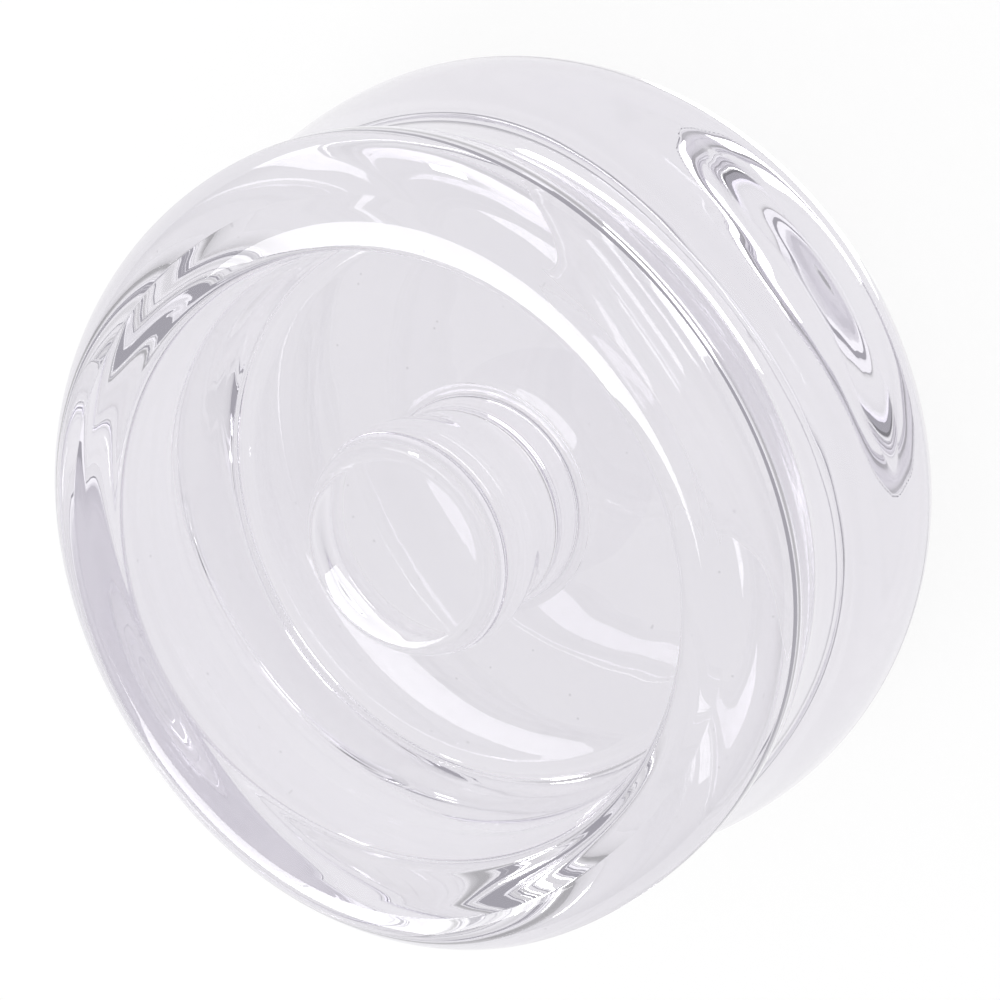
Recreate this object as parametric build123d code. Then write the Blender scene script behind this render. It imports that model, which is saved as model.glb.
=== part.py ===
from build123d import *
import os

# Heavy clear glass insulator: a thick cup with a fat rolled rim, a shallow waist
# groove outside and a separately gathered grip knob fused to its cavity floor.
# Millimetres. +Z runs along the axis, out of the mouth. The origin is the centre
# of the flat base, on which the insulator stands with its mouth up.

# ---- driving dimensions of the cup ----
overall_radius = 50.0        # the belly, widest place of the cup
overall_height = 51.5        # base to the crown of the rim
belly_height = 13.0          # height of the widest place above the base
base_flat_radius = 36.0      # flat disc that the cup stands on
waist_radius = 46.2          # bottom of the shallow groove round the outside
waist_drop = 16.5            # rim crown down to the bottom of that groove
band_edge_radius = 48.2      # crisp lower edge of the rolled front band
band_edge_drop = 10.3        # rim crown down to that edge
band_ledge = 0.3             # faint ledge between the band's edge and the groove
band_radius = 49.0           # front band at its fullest
band_full_drop = 5.1         # rim crown down to the fullest place of the band
rim_outer_radius = 47.2      # where the band turns over into the rim's face
rim_outer_drop = 0.7         # rim crown down to that turn
rim_crown_radius = 42.4      # circle on which the rim's face is highest
rim_edge_round = 1.6         # softened outer edge of the rim
mouth_radius = 36.5          # mouth of the cavity
mouth_drop = 1.5             # rim crown down to the mouth's edge
mouth_edge_round = 0.8       # fire-polished edge of the mouth
cavity_depth = 23.0          # rim crown down to the cavity floor
cavity_floor_radius = 34.4   # the wall draws in towards the floor
cavity_corner_round = 1.6    # corner between wall and floor

# ---- driving dimensions of the knob ----
knob_top_drop = 2.0          # crown of the head below the crown of the rim
knob_head_radius = 14.0      # fullest place of the head
knob_head_drop = 8.5         # rim crown down to the fullest place of the head
knob_face_radius = 10.8      # where the domed face turns into the round edge
knob_face_sag = 0.6          # how far the face has fallen there
knob_neck_radius = 12.4      # waist of the neck, under the head
knob_neck_rise = 5.5         # height of that waist above the cavity floor
knob_foot_radius = 14.2      # flared foot, fused to the cavity floor
knob_foot_land = 0.3         # upright edge of the foot, the fusion line

# ---- heights that follow from them ----
cavity_floor_z = overall_height - cavity_depth
waist_z = overall_height - waist_drop
band_edge_z = overall_height - band_edge_drop
band_full_z = overall_height - band_full_drop
rim_outer_z = overall_height - rim_outer_drop
mouth_z = overall_height - mouth_drop
knob_top_z = overall_height - knob_top_drop
knob_head_z = overall_height - knob_head_drop


def cup_profile():
    """Half section of the cup, in radius and height, closed along the axis."""
    base_edge = (base_flat_radius, 0)
    belly = (overall_radius, belly_height)
    waist = (waist_radius, waist_z)
    ledge_foot = (band_edge_radius - band_ledge, band_edge_z - band_ledge)
    band_edge = (band_edge_radius, band_edge_z)
    rim_outer = (rim_outer_radius, rim_outer_z)
    rim_crown = (rim_crown_radius, overall_height)
    mouth = (mouth_radius, mouth_z)
    floor_edge = (cavity_floor_radius, cavity_floor_z)
    with BuildSketch() as profile:
        with BuildLine():
            Line((0, 0), base_edge)
            Spline(base_edge, belly, tangents=[(1, 0), (0, 1)])
            Spline(belly, waist, tangents=[(0, 1), (0, 1)])
            Spline(waist, ledge_foot, tangents=[(0, 1), (1, 3)])
            Line(ledge_foot, band_edge)
            ThreePointArc(band_edge, (band_radius, band_full_z), rim_outer)
            Spline(rim_outer, rim_crown, tangents=[(-3, 1), (-1, 0)])
            Spline(rim_crown, mouth, tangents=[(-1, 0), (-2, -1)])
            Line(mouth, floor_edge)
            Line(floor_edge, (0, cavity_floor_z))
            Line((0, cavity_floor_z), (0, 0))
        make_face()
        fillet(profile.vertices().sort_by_distance(rim_outer)[0], rim_edge_round)
        fillet(profile.vertices().sort_by_distance(mouth)[0], mouth_edge_round)
        fillet(profile.vertices().sort_by_distance(floor_edge)[0], cavity_corner_round)
    return profile.sketch


def knob_profile():
    """Half section of the knob, from its crown over the head down to its foot."""
    crown = (0, knob_top_z)
    face_edge = (knob_face_radius, knob_top_z - knob_face_sag)
    face_middle = (knob_face_radius / 2, knob_top_z - knob_face_sag / 4)
    head = (knob_head_radius, knob_head_z)
    neck = (knob_neck_radius, cavity_floor_z + knob_neck_rise)
    foot_top = (knob_foot_radius, cavity_floor_z + knob_foot_land)
    foot = (knob_foot_radius, cavity_floor_z)
    face_slope = (knob_face_radius, -2 * knob_face_sag)
    with BuildSketch() as profile:
        with BuildLine():
            ThreePointArc(crown, face_middle, face_edge)
            Spline(face_edge, head, tangents=[face_slope, (0, -1)])
            Spline(head, neck, tangents=[(0, -1), (0, -1)])
            Spline(neck, foot_top, tangents=[(0, -1), (1, -0.45)])
            Line(foot_top, foot)
            Line(foot, (0, cavity_floor_z))
            Line((0, cavity_floor_z), crown)
        make_face()
    return profile.sketch


def turned(profile):
    """Solid of revolution of a half section about the part's axis."""
    return revolve(Plane.XZ * profile, axis=Axis.Z, revolution_arc=360)


os.makedirs("parts", exist_ok=True)
export_step(turned(cup_profile()), "parts/glass_body.step")
export_step(turned(knob_profile()), "parts/centre_knob.step")
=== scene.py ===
import math

import bpy
import numpy as np
from mathutils import Matrix, Vector


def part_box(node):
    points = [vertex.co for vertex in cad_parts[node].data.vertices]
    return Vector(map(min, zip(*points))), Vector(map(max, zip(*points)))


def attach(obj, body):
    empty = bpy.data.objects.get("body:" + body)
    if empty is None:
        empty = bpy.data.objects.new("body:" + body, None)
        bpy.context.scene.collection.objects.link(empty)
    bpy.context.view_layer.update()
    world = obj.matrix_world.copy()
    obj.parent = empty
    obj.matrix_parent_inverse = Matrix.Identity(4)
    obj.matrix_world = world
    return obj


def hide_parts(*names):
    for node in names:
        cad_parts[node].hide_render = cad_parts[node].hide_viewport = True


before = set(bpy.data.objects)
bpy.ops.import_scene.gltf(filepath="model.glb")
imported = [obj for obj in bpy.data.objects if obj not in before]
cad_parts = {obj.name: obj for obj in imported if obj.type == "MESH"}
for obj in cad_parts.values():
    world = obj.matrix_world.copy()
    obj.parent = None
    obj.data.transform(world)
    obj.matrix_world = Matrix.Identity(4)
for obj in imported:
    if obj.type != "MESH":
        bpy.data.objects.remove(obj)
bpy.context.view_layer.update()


# ---- The cup -------------------------------------------------------------------
# One thick piece of clear glass, pressed in a mould and fire polished: a fat rolled
# rim, a plain band, a shallow waist groove and a full belly over a solid bottom.
# It was worked while soft, so its outside sways a little from a true circle.

cup_low, cup_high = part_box("glass_body")
knob_low, knob_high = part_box("centre_knob")
cup_height = cup_high[2] - cup_low[2]
belly_radius = (cup_high[0] - cup_low[0]) / 2
belly_height = 0.013
base_flat_radius = 0.036
waist_radius = 0.0462
waist_height = cup_height - 0.0165
band_edge_radius = 0.0482
band_edge_height = cup_height - 0.0103
band_ledge = 0.0003
band_radius = 0.049
band_full_height = cup_height - 0.0051
rim_outer_radius = 0.0472
rim_outer_height = cup_height - 0.0007
rim_crown_radius = 0.0415
rim_edge_reach = 0.0042
mouth_radius = 0.0365
mouth_height = cup_height - 0.0015
mouth_edge_reach = 0.0014
cavity_floor_height = knob_low[2]
cavity_floor_radius = 0.0344
cavity_corner_reach = 0.0023
knob_foot_radius = 0.0142
knob_off_axis = 0.00077
floor_drift_end = cavity_floor_radius * 0.9
fusion_dish = 0.00015
cup_rings = 290
spokes_round = 320

# Sway of the outside, in metres along the radius: for one, two, three ... waves round the
# axis, the share along the cosine and the share along the sine. The first wave is a drift.
band_sway = ((0.00014, 0.00025), (-0.00065, -0.00051), (0.00032, -0.00004), (-0.00042, -0.00024))
belly_sway = ((0.00078, 0.00036), (-0.00021, -0.00015), (0.0001, 0.0004), (-0.0002, 0.0))
belly_sway_top = 0.0235
band_sway_bottom = 0.0375


def straight(start, end, count=60):
    """Points spaced evenly on the line from start to end."""
    share = np.linspace(0, 1, count)[:, None]
    return np.array(start) * (1 - share) + np.array(end) * share


def bowed(start, end, leaving, arriving, count=120):
    """Cubic curve from start to end. Its end slopes are the two directions, each as long as the
    chord."""
    start, end = np.array(start, float), np.array(end, float)
    chord = np.linalg.norm(end - start)
    leaving = np.array(leaving, float) / np.linalg.norm(leaving) * chord
    arriving = np.array(arriving, float) / np.linalg.norm(arriving) * chord
    t = np.linspace(0, 1, count)[:, None]
    near, far = 2 * t**3 - 3 * t**2 + 1, 3 * t**2 - 2 * t**3
    return start * near + end * far + leaving * (t**3 - 2 * t**2 + t) + arriving * (t**3 - t**2)


def through(start, middle, end, count=80):
    """Parabola that leaves start, passes middle half way along and reaches end."""
    t = np.linspace(0, 1, count)[:, None]
    start, middle, end = np.array(start), np.array(middle), np.array(end)
    return start * (1 - t) * (1 - 2 * t) + middle * 4 * t * (1 - t) + end * t * (2 * t - 1)


def softened(before, after, reach, count=24):
    """Joins two lines at their shared corner: both are cut back by reach, and a parabola closes the
    gap."""
    corner = after[0]
    kept_before = before[np.linalg.norm(before - corner, axis=1) > reach]
    kept_after = after[np.linalg.norm(after - corner, axis=1) > reach]
    t = np.linspace(0, 1, count)[:, None]
    leave = corner + (kept_before[-1] - corner) * reach / np.linalg.norm(kept_before[-1] - corner)
    arrive = corner + (kept_after[0] - corner) * reach / np.linalg.norm(kept_after[0] - corner)
    bend = leave * (1 - t) ** 2 + corner * 2 * t * (1 - t) + arrive * t**2
    return np.vstack([kept_before, bend, kept_after])


def spread(section, count, bend_share=0.45):
    """Resamples a line so that its points crowd where it bends: each step holds an equal part of length
    plus turning."""
    step = np.diff(section, axis=0)
    length = np.linalg.norm(step, axis=1)
    section, step, length = section[np.r_[True, length > 1e-9]], step[length > 1e-9], length[length > 1e-9]
    turning = np.abs(np.gradient(np.unwrap(np.arctan2(step[:, 1], step[:, 0]))))
    weight = length / length.sum() * (1 - bend_share) + turning / turning.sum() * bend_share
    place = np.r_[0, np.cumsum(weight)]
    wanted = np.linspace(0, place[-1], count)
    return np.stack([np.interp(wanted, place, section[:, k]) for k in (0, 1)], axis=1)


def cup_section():
    """The cup's half section as radius and height: base, belly, waist, band, rim, and down the wall to
    the knob's foot."""
    ledge_foot = (band_edge_radius - band_ledge, band_edge_height - band_ledge)
    band_edge = (band_edge_radius, band_edge_height)
    band_full = (band_radius, band_full_height)
    rim_outer = (rim_outer_radius, rim_outer_height)
    crown = (rim_crown_radius, cup_height)
    mouth = (mouth_radius, mouth_height)
    floor_edge = (cavity_floor_radius, cavity_floor_height)
    belly = bowed((base_flat_radius, 0), (belly_radius, belly_height), (1, 0), (0, 1))
    flank = bowed((belly_radius, belly_height), (waist_radius, waist_height), (0, 1), (0, 1))
    groove = bowed((waist_radius, waist_height), ledge_foot, (0, 1), (1, 3))
    band = through(band_edge, band_full, rim_outer)
    outer_face = bowed(rim_outer, crown, (-3, 1), (-1, 0))
    inner_face = bowed(crown, mouth, (-1, 0), (-2, -1))
    wall = straight(mouth, floor_edge, 120)
    floor = straight(floor_edge, (knob_foot_radius, cavity_floor_height))
    base = straight((0, 0), (base_flat_radius, 0))
    ledge = straight(ledge_foot, band_edge, 8)
    line = np.vstack([base, belly, flank, groove, ledge, band])
    line = softened(line, np.vstack([outer_face, inner_face]), rim_edge_reach)
    line = softened(line, wall, mouth_edge_reach)
    return softened(line, floor, cavity_corner_reach)


def eased(value, low, high):
    """0 below low, 1 above high, and a smooth S between them."""
    share = np.clip((value - low) / (high - low), 0, 1)
    return share * share * (3 - 2 * share)


def sway(waves, angle):
    """Sum over the waves of their cosine share and sine share, the first going round once, the second
    twice, and so on."""
    return sum(
        along * np.cos(turns * angle) + across * np.sin(turns * angle)
        for turns, (along, across) in enumerate(waves, 1)
    )


def turned(section, spokes):
    """Surface of revolution: each section point goes round the axis in equal steps. Gives rings x
    spokes x 3."""
    angle = np.arange(spokes) / spokes * 2 * math.pi
    radius, height = section[:, :1], section[:, 1:]
    return np.stack([radius * np.cos(angle), radius * np.sin(angle), height + 0 * angle], axis=2)


def cup_surface():
    """The section turned about the axis. Outside, each point then moves along its radius by the belly's
    sway or, higher up, the band's, and at the mouth and in the cavity by nothing. The floor drifts with
    the knob's foot, and the drift is gone at floor_drift_end."""
    section = spread(cup_section(), cup_rings)
    grid = turned(section, spokes_round)
    angle = np.arange(spokes_round) / spokes_round * 2 * math.pi
    crest = np.argmax(section[:, 1])
    outside = (np.arange(cup_rings) <= crest)[:, None]
    radius, height = section[:, :1], section[:, 1:]
    up = eased(height, belly_sway_top, band_sway_bottom)
    shift = sway(belly_sway, angle) * (1 - up) + sway(band_sway, angle) * up
    from_base = eased(radius, 0, base_flat_radius)
    from_mouth = eased(radius, mouth_radius, rim_crown_radius)
    shift = shift * np.where(outside, from_base, from_mouth)
    grid[..., 0] += shift * np.cos(angle)
    grid[..., 1] += shift * np.sin(angle)
    drift = 1 - eased(radius, knob_foot_radius, floor_drift_end)
    grid[..., 0] += knob_off_axis * np.where(outside, 0, drift)
    return grid


def lathe_mesh(name, grid, start_pole, end_pole, fused):
    """Mesh of a rings x spokes grid whose two ends close on one point each. Rows join to the next row
    and round to themselves. fused is "start" or "end": the closing fan there takes the second material,
    that of the fusion face."""
    rings, spokes = grid.shape[:2]
    points = np.vstack([grid.reshape(-1, 3), [start_pole], [end_pole]])
    ring = np.arange(rings - 1)[:, None] * spokes
    spoke = np.arange(spokes)
    after = (spoke + 1) % spokes
    quads = np.stack([ring + spoke, ring + after, ring + spokes + after, ring + spokes + spoke], axis=2)
    tail = (rings - 1) * spokes
    start_fan = np.stack([np.full(spokes, rings * spokes), after, spoke], axis=1)
    end_fan = np.stack([np.full(spokes, rings * spokes + 1), tail + spoke, tail + after], axis=1)
    faces = [*quads.reshape(-1, 4).tolist(), *start_fan.tolist(), *end_fan.tolist()]
    finish = np.zeros(len(faces), int)
    fan_start = len(faces) - (2 * spokes if fused == "start" else spokes)
    finish[fan_start : fan_start + spokes] = 1
    mesh = bpy.data.meshes.new(name)
    mesh.from_pydata(points.tolist(), [], faces)
    mesh.polygons.foreach_set("material_index", finish)
    mesh.polygons.foreach_set("use_smooth", np.ones(len(faces), bool))
    mesh.update()
    return mesh


cup_mesh = lathe_mesh(
    "cup", cup_surface(), (0, 0, 0), (knob_off_axis, 0, cavity_floor_height - fusion_dish), "end"
)
cup = bpy.data.objects.new("cup", cup_mesh)
bpy.context.scene.collection.objects.link(cup)
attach(cup, "root")
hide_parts("glass_body")

glass_clear_tint = (0.86, 0.845, 0.885, 1)
glass_deep_tint = (0.75, 0.73, 0.782, 1)
glass_speck_tint = (0.52, 0.5, 0.54, 1)
glass_index = 1.52
last_mirror = 4
last_turn = 12
# Painted glow: a dim grey the glass gives off where a light path is cut short, standing in for the light
# not followed.
painted_glow_tone = (0.19, 0.185, 0.205, 1)
cord_stretch = 0.12
speck_core = 0.035
speck_edge = 0.06
speck_strength = 0.6
cup_patches_per_metre = 26.0
cup_cords_per_metre = 150.0
cup_specks_per_metre = 260.0
cup_flow_depth = 0.00006


def glass_flow_group():
    """Node group of what melted glass keeps from its making. Tint drifts between a clear and a deep
    colour with a broad noise and drops to a speck colour inside small round cells. Height is a noise
    stretched along the rings: it is read at (x, y, r - z), with x and y shrunk to cord_stretch, so its
    ridges follow the circles."""
    group = bpy.data.node_groups.new("glass_flow", "ShaderNodeTree")
    for label, kind in (("Clear Tint", "Color"), ("Deep Tint", "Color"), ("Speck Tint", "Color"),
                        ("Patches", "Float"), ("Cords", "Float"), ("Specks", "Float")):
        group.interface.new_socket(name=label, in_out="INPUT", socket_type="NodeSocket" + kind)
    group.interface.new_socket(name="Tint", in_out="OUTPUT", socket_type="NodeSocketColor")
    group.interface.new_socket(name="Height", in_out="OUTPUT", socket_type="NodeSocketFloat")
    nodes, join = group.nodes, group.links.new
    given = nodes.new("NodeGroupInput")
    result = nodes.new("NodeGroupOutput")
    place = nodes.new("ShaderNodeTexCoord")

    patches = nodes.new("ShaderNodeTexNoise")
    patches.inputs["Detail"].default_value = 3.0
    join(place.outputs["Object"], patches.inputs["Vector"])
    join(given.outputs["Patches"], patches.inputs["Scale"])
    depth = nodes.new("ShaderNodeMix")
    depth.data_type = "RGBA"
    join(patches.outputs["Fac"], depth.inputs["Factor"])
    join(given.outputs["Clear Tint"], depth.inputs["A"])
    join(given.outputs["Deep Tint"], depth.inputs["B"])

    cells = nodes.new("ShaderNodeTexVoronoi")
    join(place.outputs["Object"], cells.inputs["Vector"])
    join(given.outputs["Specks"], cells.inputs["Scale"])
    speck = nodes.new("ShaderNodeMapRange")
    speck.inputs["From Min"].default_value = speck_core
    speck.inputs["From Max"].default_value = speck_edge
    speck.inputs["To Min"].default_value = speck_strength
    speck.inputs["To Max"].default_value = 0.0
    join(cells.outputs["Distance"], speck.inputs["Value"])
    specked = nodes.new("ShaderNodeMix")
    specked.data_type = "RGBA"
    join(speck.outputs["Result"], specked.inputs["Factor"])
    join(depth.outputs["Result"], specked.inputs["A"])
    join(given.outputs["Speck Tint"], specked.inputs["B"])
    join(specked.outputs["Result"], result.inputs["Tint"])

    flat = nodes.new("ShaderNodeVectorMath")
    flat.operation = "MULTIPLY"
    flat.inputs[1].default_value = (1, 1, 0)
    join(place.outputs["Object"], flat.inputs[0])
    radius = nodes.new("ShaderNodeVectorMath")
    radius.operation = "LENGTH"
    join(flat.outputs["Vector"], radius.inputs[0])
    axes = nodes.new("ShaderNodeSeparateXYZ")
    join(place.outputs["Object"], axes.inputs["Vector"])
    along = nodes.new("ShaderNodeMath")
    along.operation = "SUBTRACT"
    join(radius.outputs["Value"], along.inputs[0])
    join(axes.outputs["Z"], along.inputs[1])
    gathered = nodes.new("ShaderNodeCombineXYZ")
    for axis in ("X", "Y"):
        slow = nodes.new("ShaderNodeMath")
        slow.operation = "MULTIPLY"
        slow.inputs[1].default_value = cord_stretch
        join(axes.outputs[axis], slow.inputs[0])
        join(slow.outputs["Value"], gathered.inputs[axis])
    join(along.outputs["Value"], gathered.inputs["Z"])
    cords = nodes.new("ShaderNodeTexNoise")
    cords.inputs["Detail"].default_value = 1.0
    join(gathered.outputs["Vector"], cords.inputs["Vector"])
    join(given.outputs["Cords"], cords.inputs["Scale"])
    join(cords.outputs["Fac"], result.inputs["Height"])
    return group


glass_flow = glass_flow_group()


def clear_glass(name, patches, cords, specks, flow_depth):
    """Smooth clear glass: it bends light at its surface, and takes its faint tint and flow lines from
    glass_flow. Light mirrored inside it last_mirror times, or bent last_turn times in all, is not
    followed further, so there the glass gives off a painted dim grey glow instead of black, standing
    in for the light that is not followed. No surface that is seen directly is touched by it."""
    material = bpy.data.materials.new(name)
    material.use_nodes = True
    nodes, join = material.node_tree.nodes, material.node_tree.links.new
    shader = nodes["Principled BSDF"]
    shader.inputs["Roughness"].default_value = 0.0
    shader.inputs["IOR"].default_value = glass_index
    shader.inputs["Transmission Weight"].default_value = 1.0
    flow = nodes.new("ShaderNodeGroup")
    flow.node_tree = glass_flow
    flow.inputs["Clear Tint"].default_value = glass_clear_tint
    flow.inputs["Deep Tint"].default_value = glass_deep_tint
    flow.inputs["Speck Tint"].default_value = glass_speck_tint
    flow.inputs["Patches"].default_value = patches
    flow.inputs["Cords"].default_value = cords
    flow.inputs["Specks"].default_value = specks
    bump = nodes.new("ShaderNodeBump")
    bump.inputs["Distance"].default_value = flow_depth
    path = nodes.new("ShaderNodeLightPath")
    mirrored = nodes.new("ShaderNodeMath")
    mirrored.operation = "GREATER_THAN"
    mirrored.inputs[1].default_value = last_mirror - 0.5
    turned_out = nodes.new("ShaderNodeMath")
    turned_out.operation = "GREATER_THAN"
    turned_out.inputs[1].default_value = last_turn - 0.5
    spent = nodes.new("ShaderNodeMath")
    spent.operation = "MAXIMUM"
    # Painted glow: where the path is cut short, the glass emits the dim grey tone instead of black.
    painted_end_glow = nodes.new("ShaderNodeMix")
    painted_end_glow.data_type = "RGBA"
    painted_end_glow.inputs["A"].default_value = (0, 0, 0, 1)
    painted_end_glow.inputs["B"].default_value = painted_glow_tone
    join(path.outputs["Glossy Depth"], mirrored.inputs[0])
    join(path.outputs["Ray Depth"], turned_out.inputs[0])
    join(mirrored.outputs["Value"], spent.inputs[0])
    join(turned_out.outputs["Value"], spent.inputs[1])
    join(spent.outputs["Value"], painted_end_glow.inputs["Factor"])
    join(painted_end_glow.outputs["Result"], shader.inputs["Emission Color"])
    shader.inputs["Emission Strength"].default_value = 1.0
    join(flow.outputs["Tint"], shader.inputs["Base Color"])
    join(flow.outputs["Height"], bump.inputs["Height"])
    join(bump.outputs["Normal"], shader.inputs["Normal"])
    return material


# Where the knob is melted to the floor there is no surface left, so light runs straight on.
fusion_face = bpy.data.materials.new("fusion_face")
fusion_face.use_nodes = True
fusion_shader = fusion_face.node_tree.nodes["Principled BSDF"]
fusion_shader.inputs["Base Color"].default_value = (1, 1, 1, 1)
fusion_shader.inputs["Roughness"].default_value = 0.0
fusion_shader.inputs["IOR"].default_value = 1.0
fusion_shader.inputs["Transmission Weight"].default_value = 1.0

cup_glass = clear_glass(
    "cup_glass", cup_patches_per_metre, cup_cords_per_metre, cup_specks_per_metre, cup_flow_depth
)
cup_mesh.materials.append(cup_glass)
cup_mesh.materials.append(fusion_face)


# ---- The knob ------------------------------------------------------------------
# A gather of the same glass, set on the cavity floor and melted to it, then pinched
# under its head. It stands a little off the cup's axis.

knob_head_inside_foot = 0.0002
knob_head_radius = (knob_high[0] - knob_low[0]) / 2 - knob_head_inside_foot
knob_top_height = knob_high[2]
knob_head_height = cup_height - 0.0085
knob_face_radius = 0.0108
knob_face_sag = 0.0006
knob_neck_radius = 0.0124
knob_neck_height = cavity_floor_height + 0.0055
knob_foot_land = 0.0003
knob_foot_flare = (1, -0.45)
knob_rings = 170


def knob_section():
    """The knob's half section as radius and height, from the crown of its face down to its foot."""
    face_edge = (knob_face_radius, knob_top_height - knob_face_sag)
    face_middle = (knob_face_radius / 2, knob_top_height - knob_face_sag / 4)
    head = (knob_head_radius, knob_head_height)
    neck = (knob_neck_radius, knob_neck_height)
    foot = (knob_foot_radius, cavity_floor_height + knob_foot_land)
    face = through((0, knob_top_height), face_middle, face_edge)
    brow = bowed(face_edge, head, (knob_face_radius, -2 * knob_face_sag), (0, -1))
    throat = bowed(head, neck, (0, -1), (0, -1))
    flare = bowed(neck, foot, (0, -1), knob_foot_flare)
    land = straight(foot, (knob_foot_radius, cavity_floor_height), 6)
    return np.vstack([face, brow, throat, flare, land])


knob_line = spread(knob_section(), knob_rings)[::-1]
knob_grid = turned(knob_line[:-1], spokes_round)
knob_grid[..., 0] += knob_off_axis
knob_mesh = lathe_mesh(
    "knob",
    knob_grid,
    (knob_off_axis, 0, cavity_floor_height + fusion_dish),
    (knob_off_axis, 0, knob_top_height),
    "start",
)
knob = bpy.data.objects.new("knob", knob_mesh)
bpy.context.scene.collection.objects.link(knob)
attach(knob, "root")
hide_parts("centre_knob")

knob_patches_per_metre = 60.0
knob_cords_per_metre = 240.0
knob_specks_per_metre = 300.0
knob_flow_depth = 0.00003
knob_glass = clear_glass(
    "knob_glass", knob_patches_per_metre, knob_cords_per_metre, knob_specks_per_metre, knob_flow_depth
)
knob_mesh.materials.append(knob_glass)
knob_mesh.materials.append(fusion_face)


# ---- The camera ----------------------------------------------------------------
camera_tilt = math.radians(35.67)
camera_roll = math.radians(-121.76)
camera_reach = 0.511
focal_length = 161.2
mouth_in_view = (-0.01208, -0.00703)

camera_data = bpy.data.cameras.new("camera")
camera_data.lens = focal_length
camera_data.sensor_width = 36
camera_data.clip_start = 0.05
camera = bpy.data.objects.new("camera", camera_data)
bpy.context.scene.collection.objects.link(camera)
turn = Matrix.Rotation(camera_tilt, 4, "X") @ Matrix.Rotation(camera_roll, 4, "Z")
aim = turn @ Vector((-mouth_in_view[0], -mouth_in_view[1], camera_reach))
camera.matrix_world = Matrix.Translation(Vector((0, 0, mouth_height)) + aim) @ turn
bpy.context.scene.camera = camera


# ---- The floor, the room and the lamps -----------------------------------------
# A matt white table under the glass, in a plain studio that is bright overhead and
# dimmer towards the walls, with a large soft box behind and a small one at the side.

floor_reach = 2.5
floor_gap = 0.0004
floor_white = (0.9, 0.9, 0.9, 1)
floor_own_white = 0.9
room_wall = 0.4
room_ceiling = 1.0
wall_ends_at = 0.03
ceiling_starts_at = 0.45

floor_mesh = bpy.data.meshes.new("floor")
corners = [(-1, -1), (1, -1), (1, 1), (-1, 1)]
floor_points = [(x * floor_reach, y * floor_reach, -floor_gap) for x, y in corners]
floor_mesh.from_pydata(floor_points, [], [(0, 1, 2, 3)])
floor = bpy.data.objects.new("floor", floor_mesh)
bpy.context.scene.collection.objects.link(floor)
floor_paint = bpy.data.materials.new("floor")
floor_paint.use_nodes = True
floor_nodes = floor_paint.node_tree.nodes
floor_join = floor_paint.node_tree.links.new
floor_shader = floor_nodes["Principled BSDF"]
floor_shader.inputs["Base Color"].default_value = floor_white
floor_shader.inputs["Roughness"].default_value = 1.0
floor_shader.inputs["Specular IOR Level"].default_value = 0.0
floor_glow = floor_nodes.new("ShaderNodeEmission")
floor_ray = floor_nodes.new("ShaderNodeLightPath")
seen = floor_nodes.new("ShaderNodeMath")
seen.operation = "ADD"
seen_through = floor_nodes.new("ShaderNodeMath")
seen_through.operation = "ADD"
seen_through.use_clamp = True
held = floor_nodes.new("ShaderNodeMath")
held.operation = "MULTIPLY"
held.inputs[1].default_value = floor_own_white
floor_mix = floor_nodes.new("ShaderNodeMixShader")
floor_join(floor_ray.outputs["Is Camera Ray"], seen.inputs[0])
floor_join(floor_ray.outputs["Is Glossy Ray"], seen.inputs[1])
floor_join(seen.outputs["Value"], seen_through.inputs[0])
floor_join(floor_ray.outputs["Is Transmission Ray"], seen_through.inputs[1])
floor_join(seen_through.outputs["Value"], held.inputs[0])
floor_join(held.outputs["Value"], floor_mix.inputs["Fac"])
floor_join(floor_shader.outputs["BSDF"], floor_mix.inputs[1])
floor_join(floor_glow.outputs["Emission"], floor_mix.inputs[2])
floor_join(floor_mix.outputs["Shader"], floor_nodes["Material Output"].inputs["Surface"])
floor_mesh.materials.append(floor_paint)

world = bpy.data.worlds.new("studio")
world.use_nodes = True
world_nodes, world_join = world.node_tree.nodes, world.node_tree.links.new
outward = world_nodes.new("ShaderNodeTexCoord")
heights = world_nodes.new("ShaderNodeSeparateXYZ")
rise = world_nodes.new("ShaderNodeMapRange")
rise.interpolation_type = "SMOOTHSTEP"
rise.inputs["From Min"].default_value = wall_ends_at
rise.inputs["From Max"].default_value = ceiling_starts_at
rise.inputs["To Min"].default_value = room_wall
rise.inputs["To Max"].default_value = room_ceiling
world_join(outward.outputs["Generated"], heights.inputs["Vector"])
world_join(heights.outputs["Z"], rise.inputs["Value"])
world_join(rise.outputs["Result"], world_nodes["Background"].inputs["Color"])
bpy.context.scene.world = world


def soft_box(name, width, depth, power, azimuth, elevation, reach):
    """Area lamp reach metres from the glass, at an azimuth and elevation in degrees, turned to face
    it."""
    data = bpy.data.lights.new(name, "AREA")
    data.shape = "RECTANGLE"
    data.size = width
    data.size_y = depth
    data.energy = power
    lamp = bpy.data.objects.new(name, data)
    bpy.context.scene.collection.objects.link(lamp)
    az, el = math.radians(azimuth), math.radians(elevation)
    away = Vector((math.cos(el) * math.cos(az), math.cos(el) * math.sin(az), math.sin(el)))
    lamp.location = away * reach + Vector((0, 0, cup_height / 2))
    lamp.rotation_euler = away.to_track_quat("Z", "Y").to_euler()


soft_box("soft box behind", width=0.56, depth=0.59, power=4.8, azimuth=107, elevation=28.5, reach=1.0)
soft_box("soft box side", width=0.16, depth=0.16, power=1.6, azimuth=-20, elevation=24, reach=1.1)

bpy.context.scene.view_settings.view_transform = "Standard"
